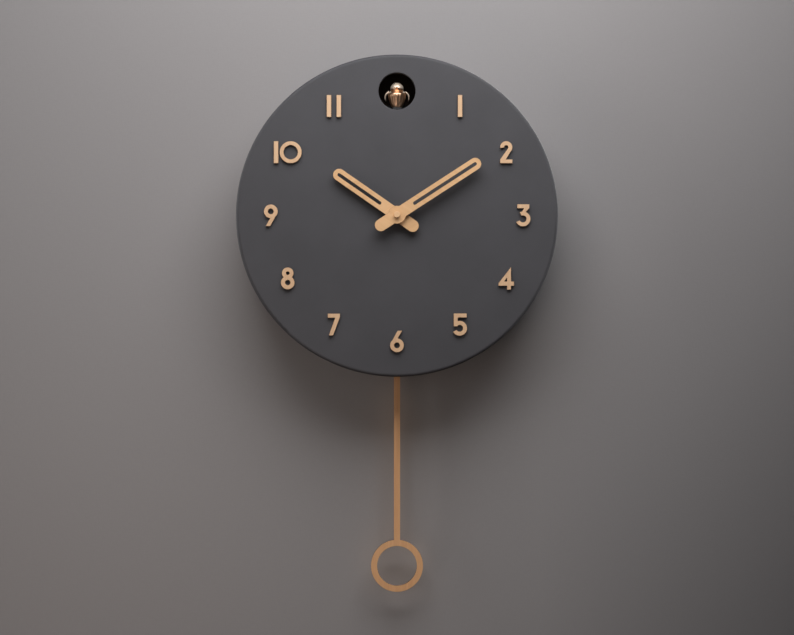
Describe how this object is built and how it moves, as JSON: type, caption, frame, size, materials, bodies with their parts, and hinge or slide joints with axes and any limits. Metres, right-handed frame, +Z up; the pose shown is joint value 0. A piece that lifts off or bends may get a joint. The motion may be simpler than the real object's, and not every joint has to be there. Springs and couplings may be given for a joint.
{
  "type": "pendulum wall clock",
  "caption": "Round dark wall clock with plywood numerals and slotted hands, a bird that comes out of a round hole, and a ring-ended pendulum below.",
  "frame": {"origin": "the drum's axis at the wall: the centre of the back board's rear face", "axes": "+Z up, the dial faces -Y, +X to the right of someone who reads the dial"},
  "size_m": [0.3, 0.0907, 0.508],
  "materials": {
    "painted_drum": "matt dark grey lacquer",
    "block_wood": "raw softwood",
    "back_board": "raw brown fibreboard",
    "ply_numeral": "birch plywood with dark cut edges",
    "ply_hand": "birch plywood with a golden lacquer",
    "ply_pendulum": "birch plywood",
    "black_plastic": "moulded, fine grain",
    "ivory_plastic": "moulded",
    "white_nylon": "unpainted nylon",
    "gasket_rubber": "plain",
    "nut_brass": "turned",
    "steel": "zinc plated",
    "magnet_grey": "sintered",
    "copper_coil": "wound enamelled wire",
    "circuit_green": "solder mask",
    "cell_jacket": "plain foil jacket",
    "bird_gold": "rose gold metallised",
    "speaker_black": "pressed frame and paper cone"
  },
  "bodies": {
    "clock": {"face_panel": "painted_drum", "case_ring": "painted_drum", "screw_blocks": "block_wood", "back_panel": "back_board", "wood_screws": "steel", "hanger_plate": "steel", "numeral_01": "ply_numeral", "numeral_02": "ply_numeral", "numeral_03": "ply_numeral", "numeral_04": "ply_numeral", "numeral_05": "ply_numeral", "numeral_06": "ply_numeral", "numeral_07": "ply_numeral", "numeral_08": "ply_numeral", "numeral_09": "ply_numeral", "numeral_10": "ply_numeral", "numeral_11": "ply_numeral", "movement_case": "black_plastic", "movement_cover": "black_plastic", "movement_gasket": "gasket_rubber", "fixing_nut": "nut_brass", "stator": "steel", "movement_coil": "copper_coil", "movement_board": "circuit_green", "movement_cell": "cell_jacket", "movement_contacts": "steel", "pendulum_case": "black_plastic", "pendulum_coil": "copper_coil", "bird_box": "black_plastic", "guide_rods": "steel", "drive_motor": "steel", "box_screws": "steel", "speaker": "speaker_black", "sound_board": "circuit_green", "battery_tray": "black_plastic", "tray_cells": "cell_jacket", "tray_contacts": "steel"},
    "minute_work": {"minute_arbor": "white_nylon", "minute_hand": "ply_hand", "hand_cap": "ply_hand"},
    "hour_work": {"hour_wheel": "white_nylon", "hour_hand": "ply_hand"},
    "setting_work": {"reduction_arbor": "white_nylon", "setting_knob": "ivory_plastic"},
    "third_work": {"third_wheel": "white_nylon"},
    "seconds_work": {"seconds_wheel": "white_nylon"},
    "intermediate_work": {"intermediate_wheel": "white_nylon"},
    "rotor_work": {"rotor": "magnet_grey"},
    "swing_work": {"pendulum_hanger": "ivory_plastic", "pendulum_magnet": "steel", "pendulum": "ply_pendulum"},
    "bird_work": {"bird_carriage": "black_plastic", "bird_body": "bird_gold"},
    "wing_left_work": {"wing_left": "bird_gold"},
    "wing_right_work": {"wing_right": "bird_gold"},
    "drive_work": {"drive_gear": "white_nylon"},
    "motor_work": {"motor_pinion": "nut_brass"},
    "switch_work": {"volume_switch": "ivory_plastic"},
    "battery_door_work": {"battery_door": "black_plastic"},
    "cell_door_work": {"cell_door": "black_plastic"}
  },
  "joints": [
    {"name": "minute_turn", "type": "hinge", "parent": "clock", "child": "minute_work", "pos_m": [0, -0.06, 0], "axis": [0, 1, 0], "continuous": true},
    {"name": "hour_turn", "type": "hinge", "parent": "clock", "child": "hour_work", "pos_m": [0, -0.06, 0], "axis": [0, 1, 0], "continuous": true},
    {"name": "setting_turn", "type": "hinge", "parent": "clock", "child": "setting_work", "pos_m": [-0.01082, -0.06, 0.00625], "axis": [0, 1, 0], "continuous": true},
    {"name": "third_turn", "type": "hinge", "parent": "clock", "child": "third_work", "pos_m": [0.00886, -0.06, -0.00156], "axis": [0, 1, 0], "continuous": true},
    {"name": "seconds_turn", "type": "hinge", "parent": "clock", "child": "seconds_work", "pos_m": [0, -0.06, 0], "axis": [0, 1, 0], "continuous": true},
    {"name": "intermediate_turn", "type": "hinge", "parent": "clock", "child": "intermediate_work", "pos_m": [0.00287, -0.06, 0.00789], "axis": [0, 1, 0], "continuous": true},
    {"name": "rotor_turn", "type": "hinge", "parent": "clock", "child": "rotor_work", "pos_m": [0.01007, -0.06, 0.00789], "axis": [0, 1, 0], "continuous": true},
    {"name": "pendulum_swing", "type": "hinge", "parent": "clock", "child": "swing_work", "pos_m": [0, -0.022, -0.048], "axis": [0, 1, 0], "range_deg": [-6, 6]},
    {"name": "bird_slide", "type": "slide", "parent": "clock", "child": "bird_work", "axis": [0, -1, 0], "range_m": [0, 0.028]},
    {"name": "wing_right_flap", "type": "hinge", "parent": "bird_work", "child": "wing_right_work", "pos_m": [0.005, -0.046, 0.1161], "axis": [0, -1, 0], "range_deg": [0, 20.2]},
    {"name": "wing_left_flap", "type": "hinge", "parent": "bird_work", "child": "wing_left_work", "pos_m": [-0.005, -0.046, 0.1161], "axis": [0, 1, 0], "range_deg": [0, 20.2]},
    {"name": "drive_turn", "type": "hinge", "parent": "clock", "child": "drive_work", "pos_m": [0, -0.039, 0.0916], "axis": [1, 0, 0], "range_deg": [0, 336]},
    {"name": "motor_turn", "type": "hinge", "parent": "clock", "child": "motor_work", "pos_m": [0, -0.039, 0.08435], "axis": [1, 0, 0], "range_deg": [-745, 0]},
    {"name": "volume_slide", "type": "slide", "parent": "clock", "child": "switch_work", "axis": [1, 0, 0], "range_m": [-0.004, 0.004]},
    {"name": "battery_door_pull", "type": "slide", "parent": "clock", "child": "battery_door_work", "axis": [0, 1, 0], "range_m": [0, 0.02]},
    {"name": "cell_door_pull", "type": "slide", "parent": "clock", "child": "cell_door_work", "axis": [0, 1, 0], "range_m": [0, 0.02]}
  ],
  "couplings": [
    {"joint": "hour_turn", "follows": "minute_turn", "ratio": 0.083333},
    {"joint": "setting_turn", "follows": "minute_turn", "ratio": -0.33333},
    {"joint": "third_turn", "follows": "minute_turn", "ratio": -8},
    {"joint": "seconds_turn", "follows": "minute_turn", "ratio": 60},
    {"joint": "intermediate_turn", "follows": "minute_turn", "ratio": -360},
    {"joint": "rotor_turn", "follows": "minute_turn", "ratio": 1800},
    {"joint": "wing_right_flap", "follows": "bird_slide", "rad_per_m": 12.467},
    {"joint": "wing_left_flap", "follows": "bird_slide", "rad_per_m": 12.467},
    {"joint": "drive_turn", "follows": "bird_slide", "rad_per_m": 208.33},
    {"joint": "motor_turn", "follows": "bird_slide", "rad_per_m": -462.96}
  ]
}
